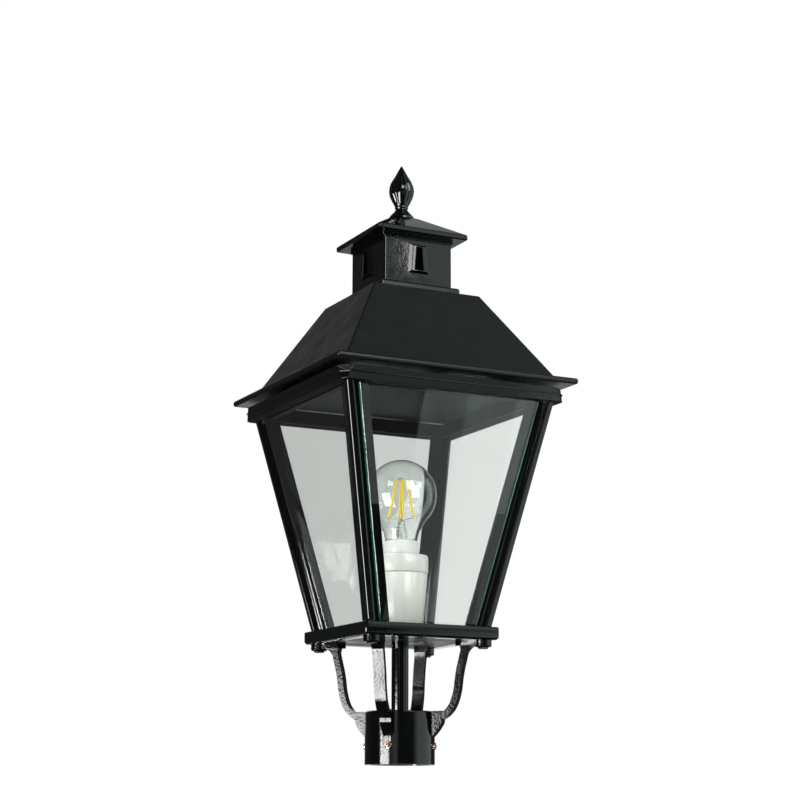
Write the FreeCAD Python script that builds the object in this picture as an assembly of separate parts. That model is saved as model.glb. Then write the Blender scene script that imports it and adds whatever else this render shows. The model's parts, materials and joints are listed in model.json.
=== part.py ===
import FreeCAD, Part
import math
import os

from FreeCAD import Placement, Rotation, Vector

# Four-sided tapered post top lantern, in millimetres, +Z up.
# Origin: centre of the mouth of the post socket. The front face looks to -Y.

# --- post socket and its clamping screws
SOCKET_BORE_R = 25.0
SOCKET_WALL = 4.0
SOCKET_HEIGHT = 43.4
SOCKET_WEB = 5.0
SET_SCREW_R = 3.0
SET_SCREW_Z = 15.0
SET_SCREW_PROUD = 2.0
SET_SCREW_SLOT = 1.0
SLOT_DEPTH = 1.2
SET_SCREW_EDGE = 0.4
SLOT_TURN = 35.0
RUN_CLEARANCE = 0.05

# --- support arms, as radius and height along each diagonal
ARM_WIDTH = 9.6
ARM_THICK = 4.8
ARM_TOP_R = 57.4
ARM_KNEE_R = 51.6
ARM_WAIST_R = 49.6
ARM_LOW_R = 36.0
ARM_SHOULDER_IN = 2.2
ARM_ANKLE_IN = 4.4
ARM_LOW_BELOW_TOP = 5.0
ARM_STATIONS = 8
LUG_REACH = 9.0
LUG_HEIGHT = 22.5
LUG_LIP = 0.5
FLARE_DROP = 9.0
FLARE_OUT = 6.0
FLARE_IN = 2.0
FOOT_THICK = 4.0
FOOT_WIDTH = 11.0
FOOT_TIP_R = 48.0
FOOT_BOSS_R = 7.0
FOOT_BOSS_DROP = 1.6
EDGE_BREAK = 1.0

# --- bottom frame, its closing plate and the central tube
BASE_Z = 100.3
BASE_HEIGHT = 10.5
BASE_HALF = 61.0
BASE_RIM = 17.0
BASE_CORNER_R = 2.5
BASE_LOW_BEVEL = 2.0
BASE_TOP_BEVEL = 0.8
PLATE_LAP = 3.5
PLATE_THICK = 2.4
TUBE_R = 7.1
TUBE_WALL = 1.6
NUT_FLATS = 19.0
NUT_THICK = 5.0

# --- corner posts, measured square to the faces from the tip of the nose
POST_FOOT_IN = 4.7
POST_HEAD_IN = 7.6
NOSE_WIDTH = 6.0
NOSE_ROOT = 9.5
NOSE_ROUND = 1.8
GLASS_SET_BACK = 3.25
FLANGE_THICK = 3.0
FLANGE_REACH = 21.5
GLASS_THICK = 4.0
GLASS_EDGE = 12.6
GROOVE_DEPTH = 3.0
GROOVE_CLEARANCE = 0.3

# --- upper frame
HEAD_Z = 296.0
HEAD_HEIGHT = 14.5
HEAD_TAPER = 1.4
HEAD_RIM = 20.8
HEAD_CHAMFER_TOP = 9.5
HEAD_CHAMFER_LOW = 3.5
BEAD_HEIGHT = 3.0
BEAD_PROUD = 1.0
BEAD_BEVEL = 0.9
REED_HEIGHT = 1.2
REED_PROUD = 0.7

# --- roof
EAVE_HALF = 110.3
EAVE_OVERHANG = 7.5
EAVE_THICK = 5.0
EAVE_BEVEL = 1.3
EAVE_LEDGE = 12.8
ROOF_TOP_HALF = 50.0
ROOF_RISE = 77.3
ROOF_WALL = 4.0
ROOF_LANDING = 20.3
COLLAR_HALF = 37.8
COLLAR_HEIGHT = 8.5
COLLAR_ROUND = 2.5
COLLAR_BEVEL = 1.6
FLUE_HALF = 27.0

# --- chimney
CHIMNEY_HALF = 32.25
CHIMNEY_HEIGHT = 42.2
CHIMNEY_WALL = 2.5
CHIMNEY_BAND = 3.2
CHIMNEY_BAND_PROUD = 1.2
CHIMNEY_CORNER_R = 1.5
VENT_SILL = 12.2
VENT_HEIGHT = 20.5
VENT_TOP_WIDTH = 5.6
VENT_FOOT_WIDTH = 8.5
VENT_RIM = 5.8
VENT_RIM_PROUD = 2.2
VENT_RIM_BEVEL = 3.0
VENT_RIM_LIP = 2.4
VENT_CROWN_LIP = 0.6

# --- chimney cap and finial
CAP_HALF = 42.8
CAP_EDGE = 5.0
CAP_BEVEL = 1.0
CAP_RISE = 19.0
CAP_TOP_HALF = 10.3
CAP_RECESS = 2.5
FINIAL_BASE_R = 10.9
FINIAL_LIP = 1.2
FINIAL_NECK_R = 4.9
FINIAL_NECK_UP = 9.8
FINIAL_BEAD_R = 5.9
FINIAL_BEAD_LONG = 2.4
FINIAL_BUD_R = 10.7
FINIAL_BUD_UP = 25.6
FINIAL_HEIGHT = 49.5
FINIAL_TIP_R = 0.7
STUD_R = 3.0
STUD_LENGTH = 8.0

# --- roof hinge at the back
HINGE_X = 62.0
KNUCKLE_R = 2.6
KNUCKLE_LONG = 9.0
PIN_R = 1.2
PIN_HEAD = 1.0
HINGE_GAP = 0.3
HINGE_DROP = 4.2
LUG_WALL = 2.4
LUG_BITE = 8.0

# --- lampholder and lamp on the centre line
TUBE_ENTRY = 3.0
HOLDER_BEVEL = 1.5
SADDLE_R = 16.0
SADDLE_THICK = 2.3
HOLDER_FOOT_R = 18.2
HOLDER_HEAD_R = 22.4
HOLDER_HEIGHT = 47.5
RING_R = 22.8
RING_HEIGHT = 15.4
RING_BORE_R = 15.0
HOLDER_BORE_R = 16.6
HOLDER_BORE_DEEP = 24.0
SHELL_WALL = 0.8
SHELL_SKIRT = 1.0
CAP_E27_R = 13.2
CAP_E27_HEIGHT = 26.0
THREAD_CLEARANCE = 0.3
CONTACT_R = 4.0
CONTACT_HEIGHT = 4.0
CONTACT_BASE = 1.2
CAP_TAPER = 5.0
COLLAR_LAMP_R = 14.3
COLLAR_LAMP_HEIGHT = 11.8
BULB_R = 30.0
BULB_NECK_R = 13.6
BULB_HEIGHT = 69.4
BULB_WALL = 0.9
BULB_FLANK = -38.0
STEM_R = 4.2
STEM_HEIGHT = 24.0
STEM_FLARE = 8.0
WIRE_R = 0.5
FILAMENT_R = 1.1
FILAMENT_LONG = 30.0
FILAMENT_IN = 4.0
FILAMENT_OUT = 8.5
LAMP_TRAVEL_GAP = 0.4
EARTH_R = 3.0
EARTH_IN = 17.5
EARTH_HEIGHT = 3.0
TAG_LONG = 10.0
TAG_WIDE = 6.0
TAG_THICK = 0.8

# --- fasteners under the feet
FOOT_SCREW_R = 2.0
FOOT_SCREW_INSET = 5.5
FOOT_SCREW_HEAD_R = 4.4
FOOT_SCREW_HEAD = 1.4
FOOT_SCREW_BITE = 6.0

# --- heights that follow
SOCKET_R = SOCKET_BORE_R + SOCKET_WALL
BASE_TOP = BASE_Z + BASE_HEIGHT
BASE_INNER_HALF = BASE_HALF - BASE_RIM
PLATE_HALF = BASE_INNER_HALF + PLATE_LAP
HEAD_TOP_HALF = EAVE_HALF - EAVE_OVERHANG
HEAD_LOW_HALF = HEAD_TOP_HALF - HEAD_TAPER
HEAD_INNER_HALF = HEAD_TOP_HALF - HEAD_RIM
POST_FOOT_HALF = BASE_HALF - POST_FOOT_IN
POST_HEAD_HALF = HEAD_TOP_HALF - POST_HEAD_IN
ROOF_BASE_HALF = EAVE_HALF - EAVE_LEDGE
ROOF_MOUTH_HALF = EAVE_HALF - ROOF_LANDING
EAVE_Z = HEAD_Z + HEAD_HEIGHT
SLOPE_Z = EAVE_Z + EAVE_THICK
ROOF_TOP = SLOPE_Z + ROOF_RISE
CHIMNEY_Z = ROOF_TOP + COLLAR_HEIGHT
CAP_Z = CHIMNEY_Z + CHIMNEY_HEIGHT
FINIAL_Z = CAP_Z + CAP_EDGE + CAP_RISE
LEAN = (POST_HEAD_HALF - POST_FOOT_HALF) / (HEAD_Z - BASE_TOP)
GLASS_PLAN = GLASS_THICK * math.sqrt(1 + LEAN * LEAN)
FLANGE_FACE = GLASS_SET_BACK + GLASS_PLAN
FLANGE_BACK = FLANGE_FACE + FLANGE_THICK
FOOT_SCREW_HALF = POST_FOOT_HALF - FOOT_SCREW_INSET
NUT_Z = BASE_Z + PLATE_THICK
SADDLE_Z = NUT_Z + NUT_THICK
HOLDER_Z = SADDLE_Z + SADDLE_THICK
RING_Z = HOLDER_Z + HOLDER_HEIGHT
LAMP_COLLAR_Z = RING_Z + RING_HEIGHT + LAMP_TRAVEL_GAP
LAMP_CAP_Z = LAMP_COLLAR_Z - CAP_E27_HEIGHT
BULB_Z = LAMP_COLLAR_Z + COLLAR_LAMP_HEIGHT
HINGE_Y = HEAD_TOP_HALF + BEAD_PROUD + HINGE_GAP + KNUCKLE_R
HINGE_Z = EAVE_Z - HINGE_DROP

CORNERS = {"front_right": -45, "back_right": 45, "back_left": 135, "front_left": -135}
SIDES = {"front": 0, "right": 90, "back": 180, "left": 270}
UP = Vector(0, 0, 1)
SAME = 0.01


def turned(shape, degrees):
    copy = shape.copy()
    copy.rotate(Vector(0, 0, 0), UP, degrees)
    return copy


def moved(shape, x=0.0, y=0.0, z=0.0):
    copy = shape.copy()
    copy.translate(Vector(x, y, z))
    return copy


def polygon(points):
    return Part.Wire(Part.makePolygon(points + points[:1]))


def square_points(half, z, chamfer=0.0):
    cut = half - chamfer
    corners = [(-half, -half), (half, -half), (half, half), (-half, half)]
    if chamfer > 0:
        corners = [(-cut, -half), (cut, -half), (half, -cut), (half, cut),
                   (cut, half), (-cut, half), (-half, cut), (-half, -cut)]
    return [Vector(x, y, z) for x, y in corners]


def tapered(low, top):
    faces = [Part.Face(polygon(low)), Part.Face(polygon(top))]
    for i in range(len(low)):
        j = (i + 1) % len(low)
        faces.append(Part.Face(polygon([low[i], low[j], top[j], top[i]])))
    solid = Part.makeSolid(Part.makeShell(faces))
    if solid.Volume < 0:
        solid.reverse()
    return solid


def square_block(half, z, height):
    side = 2 * half
    return Part.makeBox(side, side, height, Vector(-half, -half, z))


def frustum(low_half, z, top_half, top_z, low_chamfer=0.0, top_chamfer=0.0):
    return tapered(square_points(low_half, z, low_chamfer), square_points(top_half, top_z, top_chamfer))


def rod(radius, z, height):
    return Part.makeCylinder(radius, height, Vector(0, 0, z))


def revolved(outline):
    face = Part.Face(Part.Wire(outline))
    return face.revolve(Vector(0, 0, 0), UP, 360)


def line(a, b):
    return Part.LineSegment(Vector(a[0], 0, a[1]), Vector(b[0], 0, b[1])).toShape()


def curve(points):
    spline = Part.BSplineCurve()
    spline.interpolate([Vector(r, 0, z) for r, z in points])
    return spline.toShape()


def bow(points):
    start, middle, end = [Vector(r, 0, z) for r, z in points]
    return Part.Arc(start, middle, end).toShape()


def bows(points):
    return [bow(points[i:i + 3]) for i in range(0, len(points) - 2, 2)]


def edges_where(shape, test):
    return [edge for edge in shape.Edges if test(edge)]


def is_level(edge, z):
    box = edge.BoundBox
    return abs(box.ZMin - z) < SAME and abs(box.ZMax - z) < SAME


def is_upright(edge):
    box = edge.BoundBox
    return box.ZLength > SAME and box.XLength < SAME and box.YLength < SAME


def post_socket():
    body = rod(SOCKET_R, 0, SOCKET_HEIGHT)
    body = body.makeChamfer(EDGE_BREAK, edges_where(body, lambda e: is_level(e, SOCKET_HEIGHT)))
    body = body.cut(rod(SOCKET_BORE_R, 0, SOCKET_HEIGHT - SOCKET_WEB))
    body = body.cut(rod(TUBE_R, 0, SOCKET_HEIGHT))
    drill = Part.makeCylinder(SET_SCREW_R, 2 * SOCKET_R, Vector(0, 0, SET_SCREW_Z), Vector(1, 0, 0))
    for angle in CORNERS.values():
        body = body.cut(turned(drill, angle))
    return body


def set_screw():
    radius = SET_SCREW_R - RUN_CLEARANCE
    inner = SOCKET_BORE_R + 2 * RUN_CLEARANCE
    length = SOCKET_R + SET_SCREW_PROUD - inner
    screw = Part.makeCylinder(radius, length, Vector(inner, 0, SET_SCREW_Z), Vector(1, 0, 0))
    screw = screw.makeChamfer(SET_SCREW_EDGE, [screw.Edges[0], screw.Edges[2]])
    slot = Part.makeBox(SLOT_DEPTH, 2 * SET_SCREW_R, SET_SCREW_SLOT)
    end = SOCKET_R + SET_SCREW_PROUD
    slot.translate(Vector(end - SLOT_DEPTH, -SET_SCREW_R, SET_SCREW_Z - SET_SCREW_SLOT / 2))
    slot.rotate(Vector(end, 0, SET_SCREW_Z), Vector(1, 0, 0), SLOT_TURN)
    return screw.cut(slot)


def arm_strip():
    span = BASE_Z - SOCKET_HEIGHT
    points = [(ARM_TOP_R, BASE_Z - FOOT_THICK / 2),
              (ARM_TOP_R - ARM_SHOULDER_IN, SOCKET_HEIGHT + 0.79 * span),
              (ARM_KNEE_R, SOCKET_HEIGHT + 0.50 * span),
              (ARM_WAIST_R, SOCKET_HEIGHT + 0.26 * span),
              (ARM_WAIST_R - ARM_ANKLE_IN, SOCKET_HEIGHT + 0.055 * span),
              (ARM_LOW_R, SOCKET_HEIGHT - ARM_LOW_BELOW_TOP)]
    path = curve(points)
    outer, inner = [], []
    for i in range(ARM_STATIONS + 1):
        t = path.FirstParameter + (path.LastParameter - path.FirstParameter) * i / ARM_STATIONS
        at = path.valueAt(t)
        along = path.tangentAt(t)
        reach = ARM_THICK / 2
        outer.append((at.x - reach * along.z, at.z + reach * along.x))
        inner.append((at.x + reach * along.z, at.z - reach * along.x))
    return bar(bows(outer) + [line(outer[-1], inner[-1])] + bows(inner[::-1]) + [line(inner[0], outer[0])])


def bar(outline):
    face = Part.Face(Part.Wire(outline))
    return moved(face.extrude(Vector(0, ARM_WIDTH, 0)), y=-ARM_WIDTH / 2)


def arm_lug():
    top = SOCKET_HEIGHT
    foot = top - LUG_HEIGHT
    wall = SOCKET_R - SOCKET_WALL / 2
    reach = SOCKET_R + LUG_REACH
    brow = (reach - LUG_LIP, top - 0.42 * LUG_HEIGHT)
    outline = [line((wall, foot), (wall, top)), line((wall, top), (reach, top)), line((reach, top), brow),
               bow([brow, (SOCKET_R + 0.42 * LUG_REACH, top - 0.74 * LUG_HEIGHT), (wall, foot)])]
    return bar(outline)


def arm_foot():
    low = BASE_Z - FOOT_THICK
    boss_r = FOOT_SCREW_HALF * math.sqrt(2)
    half = FOOT_WIDTH / 2
    shoulder = FOOT_TIP_R + FOOT_WIDTH * 0.6
    outline = polygon([Vector(FOOT_TIP_R, 0, low), Vector(shoulder, -half, low),
                       Vector(boss_r, -half, low), Vector(boss_r, half, low),
                       Vector(shoulder, half, low)])
    strap = Part.Face(outline).extrude(Vector(0, 0, FOOT_THICK))
    boss = Part.makeCylinder(FOOT_BOSS_R, FOOT_THICK + FOOT_BOSS_DROP,
                             Vector(boss_r, 0, low - FOOT_BOSS_DROP))
    boss = boss.makeChamfer(EDGE_BREAK, edges_where(boss, lambda e: is_level(e, low - FOOT_BOSS_DROP)))
    return strap.fuse(boss)


def arm_flare():
    low = BASE_Z - FOOT_THICK
    outer = ARM_TOP_R + ARM_THICK / 2
    inner = ARM_TOP_R - ARM_THICK / 2
    lowest = low - FLARE_DROP
    sweep = [(outer + FLARE_OUT, low), (outer + 0.1 * FLARE_OUT, low - 0.3 * FLARE_DROP),
             (outer - ARM_SHOULDER_IN, lowest)]
    outline = [line((inner - FLARE_IN, low), sweep[0]), bow(sweep), line(sweep[-1], (inner, lowest)),
               line((inner, lowest), (inner - FLARE_IN, low))]
    return bar(outline)


def support_arm():
    boss_r = FOOT_SCREW_HALF * math.sqrt(2)
    arm = arm_strip().fuse([arm_lug(), arm_foot(), arm_flare()])
    arm = arm.cut(rod(SOCKET_R, 0, SOCKET_HEIGHT))
    arm = arm.common(Part.makeBox(BASE_HALF * 2, BASE_HALF, BASE_Z, Vector(0, -BASE_HALF / 2, 0)))
    hole = Part.makeCylinder(FOOT_SCREW_R, BASE_Z, Vector(boss_r, 0, 0))
    upper = Part.makeBox(BASE_HALF, BASE_HALF, BASE_Z, Vector(ARM_TOP_R, -BASE_HALF / 2, BASE_Z / 2))
    return arm.cut(hole.common(upper)).removeSplitter()


def foot_screw():
    boss_r = FOOT_SCREW_HALF * math.sqrt(2)
    low = BASE_Z - FOOT_THICK - FOOT_BOSS_DROP
    head = Part.makeCylinder(FOOT_SCREW_HEAD_R, FOOT_SCREW_HEAD, Vector(boss_r, 0, low - FOOT_SCREW_HEAD))
    head = head.makeChamfer(FOOT_SCREW_HEAD / 2, edges_where(head, lambda e: is_level(e, low - FOOT_SCREW_HEAD)))
    length = FOOT_THICK + FOOT_BOSS_DROP + BASE_HEIGHT + FOOT_SCREW_BITE
    shank = Part.makeCylinder(FOOT_SCREW_R, length, Vector(boss_r, 0, low))
    return head.fuse(shank)


def prism_hex(flats, z, height):
    reach = flats / math.sqrt(3)
    points = [Vector(reach * math.cos(math.radians(60 * i)), reach * math.sin(math.radians(60 * i)), z)
              for i in range(6)]
    return Part.Face(polygon(points)).extrude(Vector(0, 0, height))


def foot_screw_holes():
    drill = Part.makeCylinder(FOOT_SCREW_R, BASE_HEIGHT + FOOT_SCREW_BITE,
                              Vector(FOOT_SCREW_HALF, -FOOT_SCREW_HALF, BASE_Z))
    return [turned(drill, 90 * i) for i in range(4)]


def post_outline(half, z):
    tip = Vector(half, -half, z)
    ins = [(0, 0), (NOSE_WIDTH, 0), (NOSE_ROOT, FLANGE_FACE), (FLANGE_REACH, FLANGE_FACE),
           (FLANGE_REACH, FLANGE_BACK), (FLANGE_BACK, FLANGE_BACK), (FLANGE_BACK, FLANGE_REACH),
           (FLANGE_FACE, FLANGE_REACH), (FLANGE_FACE, NOSE_ROOT), (0, NOSE_WIDTH)]
    return polygon([tip + Vector(-u, v, 0) for u, v in ins])


def corner_post():
    out = POST_HEAD_HALF - POST_FOOT_HALF
    foot = Part.Face(post_outline(POST_FOOT_HALF, BASE_TOP))
    post = foot.extrude(Vector(out, -out, HEAD_Z - BASE_TOP))
    nose = POST_FOOT_HALF - (NOSE_WIDTH + NOSE_ROOT) / 2
    def on_nose(edge):
        low = min(edge.Vertexes, key=lambda v: v.Z).Point
        return edge.BoundBox.ZLength > NOSE_WIDTH and low.x > nose and -low.y > nose
    post = post.makeFillet(NOSE_ROUND, edges_where(post, on_nose))
    return post.cut(foot_screw_holes())


def pane(low_z, top_z, clearance=0.0):
    rows = []
    for z in (low_z, top_z):
        nose = POST_FOOT_HALF + LEAN * (z - BASE_TOP)
        face = nose - GLASS_SET_BACK + clearance
        back = nose - FLANGE_FACE - clearance
        wide = nose - GLASS_EDGE + clearance
        rows.append([Vector(-wide, -face, z), Vector(wide, -face, z),
                     Vector(wide, -back, z), Vector(-wide, -back, z)])
    return tapered(rows[0], rows[1])


def glass_pane():
    return pane(BASE_TOP - GROOVE_DEPTH, HEAD_Z + GROOVE_DEPTH)


def grooves():
    groove = pane(BASE_TOP - GROOVE_DEPTH, HEAD_Z + GROOVE_DEPTH + GROOVE_CLEARANCE, GROOVE_CLEARANCE / 2)
    return [turned(groove, angle) for angle in SIDES.values()]


def bottom_frame():
    ring = square_block(BASE_HALF, BASE_Z, BASE_HEIGHT)
    ring = ring.makeFillet(BASE_CORNER_R, edges_where(ring, is_upright))
    ring = ring.makeChamfer(BASE_LOW_BEVEL, edges_where(ring, lambda e: is_level(e, BASE_Z)))
    ring = ring.makeChamfer(BASE_TOP_BEVEL, edges_where(ring, lambda e: is_level(e, BASE_TOP)))
    ring = ring.cut(square_block(BASE_INNER_HALF, BASE_Z, BASE_HEIGHT))
    ring = ring.cut(square_block(PLATE_HALF, BASE_Z, PLATE_THICK))
    return ring.cut(grooves() + foot_screw_holes())


def bottom_plate():
    plate = square_block(PLATE_HALF, BASE_Z, PLATE_THICK)
    return plate.cut(rod(TUBE_R, BASE_Z, PLATE_THICK))


def upper_frame():
    bead_z = EAVE_Z - BEAD_HEIGHT
    mid_z = (HEAD_Z + bead_z) / 2
    half = HEAD_TOP_HALF
    low = frustum(HEAD_LOW_HALF, HEAD_Z, half, bead_z, HEAD_CHAMFER_LOW, HEAD_CHAMFER_TOP)
    bead = frustum(half + BEAD_PROUD, bead_z, half + BEAD_PROUD, EAVE_Z, HEAD_CHAMFER_TOP, HEAD_CHAMFER_TOP)
    bead = bead.makeChamfer(BEAD_BEVEL, edges_where(bead, lambda e: is_level(e, bead_z)))
    reed_half = HEAD_LOW_HALF + HEAD_TAPER / 2 + REED_PROUD
    reed_cut = (HEAD_CHAMFER_LOW + HEAD_CHAMFER_TOP) / 2
    reed = frustum(reed_half, mid_z, reed_half, mid_z + REED_HEIGHT, reed_cut, reed_cut)
    ring = low.fuse([bead, reed]).cut(square_block(HEAD_INNER_HALF, HEAD_Z, HEAD_HEIGHT))
    return ring.cut(grooves()).removeSplitter()


def roof():
    eave = square_block(EAVE_HALF, EAVE_Z, EAVE_THICK)
    eave = eave.makeChamfer(EAVE_BEVEL, eave.Edges)
    slope = frustum(ROOF_BASE_HALF, SLOPE_Z, ROOF_TOP_HALF, ROOF_TOP)
    collar = square_block(COLLAR_HALF, ROOF_TOP - ROOF_WALL, COLLAR_HEIGHT + ROOF_WALL)
    collar = collar.makeFillet(COLLAR_ROUND, edges_where(collar, is_upright))
    collar = collar.makeChamfer(COLLAR_BEVEL, edges_where(collar, lambda e: is_level(e, CHIMNEY_Z)))
    inside = frustum(ROOF_MOUTH_HALF, EAVE_Z, ROOF_TOP_HALF - ROOF_WALL, ROOF_TOP - ROOF_WALL)
    flue = square_block(FLUE_HALF, ROOF_TOP - 2 * ROOF_WALL, COLLAR_HEIGHT + 2 * ROOF_WALL)
    return eave.fuse([slope, collar]).cut([inside, flue]).removeSplitter()


def vent_outline(grow, lip, y):
    taper = (VENT_FOOT_WIDTH - VENT_TOP_WIDTH) / VENT_HEIGHT
    low = CHIMNEY_Z + VENT_SILL - lip
    top = CHIMNEY_Z + VENT_SILL + VENT_HEIGHT + lip
    foot = (VENT_FOOT_WIDTH + taper * lip) / 2 + grow
    head = (VENT_TOP_WIDTH - taper * lip) / 2 + grow
    return [Vector(-foot, y, low), Vector(foot, y, low), Vector(head, y, top), Vector(-head, y, top)]


def vent_rim():
    base = vent_outline(VENT_RIM, VENT_RIM_LIP, -CHIMNEY_HALF)
    crown = vent_outline(VENT_RIM - VENT_RIM_BEVEL, VENT_CROWN_LIP, -CHIMNEY_HALF - VENT_RIM_PROUD)
    return tapered(base, crown)


def vent_hole():
    outside = -CHIMNEY_HALF - 2 * VENT_RIM_PROUD
    face = Part.Face(polygon(vent_outline(0, 0, outside)))
    return face.extrude(Vector(0, 2 * CHIMNEY_WALL + 2 * VENT_RIM_PROUD, 0))


def chimney():
    shell = square_block(CHIMNEY_HALF, CHIMNEY_Z, CHIMNEY_HEIGHT)
    shell = shell.makeFillet(CHIMNEY_CORNER_R, edges_where(shell, is_upright))
    band = square_block(CHIMNEY_HALF + CHIMNEY_BAND_PROUD, CAP_Z - CHIMNEY_BAND, CHIMNEY_BAND)
    band = band.makeFillet(CHIMNEY_CORNER_R, edges_where(band, is_upright))
    shell = shell.fuse([band] + [turned(vent_rim(), angle) for angle in SIDES.values()])
    shell = shell.cut(square_block(CHIMNEY_HALF - CHIMNEY_WALL, CHIMNEY_Z, CHIMNEY_HEIGHT))
    return shell.cut([turned(vent_hole(), angle) for angle in SIDES.values()]).removeSplitter()


def chimney_cap():
    edge = square_block(CAP_HALF, CAP_Z, CAP_EDGE)
    edge = edge.makeChamfer(CAP_BEVEL, edge.Edges)
    pyramid = frustum(CAP_HALF - CAP_BEVEL, CAP_Z + CAP_EDGE, CAP_TOP_HALF, FINIAL_Z)
    recess = square_block(CHIMNEY_HALF - CHIMNEY_WALL, CAP_Z, CAP_RECESS)
    bore = rod(STUD_R, FINIAL_Z - STUD_LENGTH, STUD_LENGTH)
    return edge.fuse(pyramid).cut([recess, bore]).removeSplitter()


def finial():
    foot = FINIAL_Z
    neck = foot + FINIAL_NECK_UP
    bead = neck - FINIAL_BEAD_LONG
    wide = foot + FINIAL_BUD_UP
    tip = foot + FINIAL_HEIGHT
    lip = (FINIAL_BASE_R, foot + FINIAL_LIP)
    flare = curve([lip, ((FINIAL_BASE_R + FINIAL_NECK_R) / 2 - FINIAL_LIP, (lip[1] + bead) / 2),
                   (FINIAL_NECK_R, bead)])
    ring = curve([(FINIAL_NECK_R, bead), (FINIAL_BEAD_R, (bead + neck) / 2), (FINIAL_NECK_R, neck)])
    bud = curve([(FINIAL_NECK_R, neck), (0.88 * FINIAL_BUD_R, neck + 0.5 * (wide - neck)), (FINIAL_BUD_R, wide),
                 (0.66 * FINIAL_BUD_R, wide + 0.48 * (tip - wide)), (FINIAL_TIP_R, tip)])
    outline = [line((0, foot), (FINIAL_BASE_R, foot)), line((FINIAL_BASE_R, foot), lip), flare, ring, bud,
               line((FINIAL_TIP_R, tip), (0, tip)), line((0, tip), (0, foot))]
    return revolved(outline).fuse(rod(STUD_R, foot - STUD_LENGTH, STUD_LENGTH))


def knuckle(x, long):
    return Part.makeCylinder(KNUCKLE_R, long, Vector(x, HINGE_Y, HINGE_Z), Vector(1, 0, 0))


def pin_hole():
    return Part.makeCylinder(PIN_R + RUN_CLEARANCE, 4 * HINGE_X, Vector(-2 * HINGE_X, HINGE_Y, HINGE_Z),
                             Vector(1, 0, 0))


def hinge_fixed():
    wall = HEAD_TOP_HALF + BEAD_PROUD
    knuckles = []
    for side in (-1, 1):
        for place in (-1, 1):
            x = side * HINGE_X + place * (KNUCKLE_LONG + HINGE_GAP) - KNUCKLE_LONG / 2
            web = Part.makeBox(KNUCKLE_LONG, HINGE_Y - wall + LUG_BITE, LUG_WALL,
                               Vector(x, wall - LUG_BITE, HINGE_Z - KNUCKLE_R))
            knuckles.append(knuckle(x, KNUCKLE_LONG).fuse(web).cut(upper_frame()).cut(pin_hole()))
    return Part.makeCompound([piece.Solids[0] for piece in knuckles])


def hinge_roof():
    lugs = []
    for side in (-1, 1):
        x = side * HINGE_X - KNUCKLE_LONG / 2
        web = Part.makeBox(KNUCKLE_LONG, LUG_WALL, EAVE_Z - HINGE_Z, Vector(x, HINGE_Y + KNUCKLE_R - LUG_WALL, HINGE_Z))
        lugs.append(knuckle(x, KNUCKLE_LONG).fuse(web).cut(pin_hole()))
    return Part.makeCompound([lug.Solids[0] for lug in lugs])


def hinge_pins():
    long = 3 * KNUCKLE_LONG + 2 * HINGE_GAP
    pins = []
    for side in (-1, 1):
        start = side * HINGE_X - long / 2
        pin = Part.makeCylinder(PIN_R, long + PIN_HEAD, Vector(start, HINGE_Y, HINGE_Z), Vector(1, 0, 0))
        head = Part.makeCylinder(2 * PIN_R, PIN_HEAD, Vector(start - PIN_HEAD, HINGE_Y, HINGE_Z), Vector(1, 0, 0))
        pins.append(pin.fuse(head))
    return Part.makeCompound([pin.Solids[0] for pin in pins])


def conduit_tube():
    low = SOCKET_HEIGHT - SOCKET_WEB
    height = HOLDER_Z + TUBE_ENTRY - low
    return rod(TUBE_R, low, height).cut(rod(TUBE_R - TUBE_WALL, low, height))


def tube_nut():
    return prism_hex(NUT_FLATS, NUT_Z, NUT_THICK).cut(rod(TUBE_R, NUT_Z, NUT_THICK))


def holder_saddle():
    return rod(SADDLE_R, SADDLE_Z, SADDLE_THICK).cut(rod(TUBE_R, SADDLE_Z, SADDLE_THICK))


def lampholder_body():
    cone = Part.makeCone(HOLDER_FOOT_R, HOLDER_HEAD_R, HOLDER_HEIGHT, Vector(0, 0, HOLDER_Z))
    cone = cone.makeChamfer(HOLDER_BEVEL, edges_where(cone, lambda e: is_level(e, HOLDER_Z)))
    well = rod(HOLDER_BORE_R, RING_Z - HOLDER_BORE_DEEP, HOLDER_BORE_DEEP)
    entry = rod(TUBE_R, HOLDER_Z, TUBE_ENTRY)
    return cone.cut([well, entry])


def lampholder_ring():
    ring = rod(RING_R, RING_Z, RING_HEIGHT)
    ring = ring.makeChamfer(HOLDER_BEVEL, edges_where(ring, lambda e: is_level(e, RING_Z + RING_HEIGHT)))
    return ring.cut(rod(RING_BORE_R, RING_Z, RING_HEIGHT))


def screw_shell():
    inner = CAP_E27_R + THREAD_CLEARANCE
    low = RING_Z - HOLDER_BORE_DEEP + CONTACT_HEIGHT
    height = RING_Z - low
    skirt = rod(HOLDER_BORE_R, low, SHELL_SKIRT)
    shell = rod(inner + SHELL_WALL, low, height + RING_HEIGHT / 2)
    return skirt.fuse(shell).cut(rod(inner, low, height + RING_HEIGHT))


def centre_contact():
    low = RING_Z - HOLDER_BORE_DEEP
    base = rod(HOLDER_BORE_R, low, CONTACT_BASE)
    button = rod(CONTACT_R, low, LAMP_CAP_Z - low - THREAD_CLEARANCE)
    return base.fuse(button)


def lamp_cap():
    cap = rod(CAP_E27_R, LAMP_CAP_Z + CAP_TAPER, CAP_E27_HEIGHT - CAP_TAPER)
    neck = Part.makeCone(1.25 * CONTACT_R, CAP_E27_R, CAP_TAPER, Vector(0, 0, LAMP_CAP_Z))
    return cap.fuse(neck).removeSplitter()


def lamp_collar():
    ring = rod(COLLAR_LAMP_R, LAMP_COLLAR_Z, COLLAR_LAMP_HEIGHT)
    return ring.makeChamfer(EDGE_BREAK, edges_where(ring, lambda e: is_level(e, LAMP_COLLAR_Z)))


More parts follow.
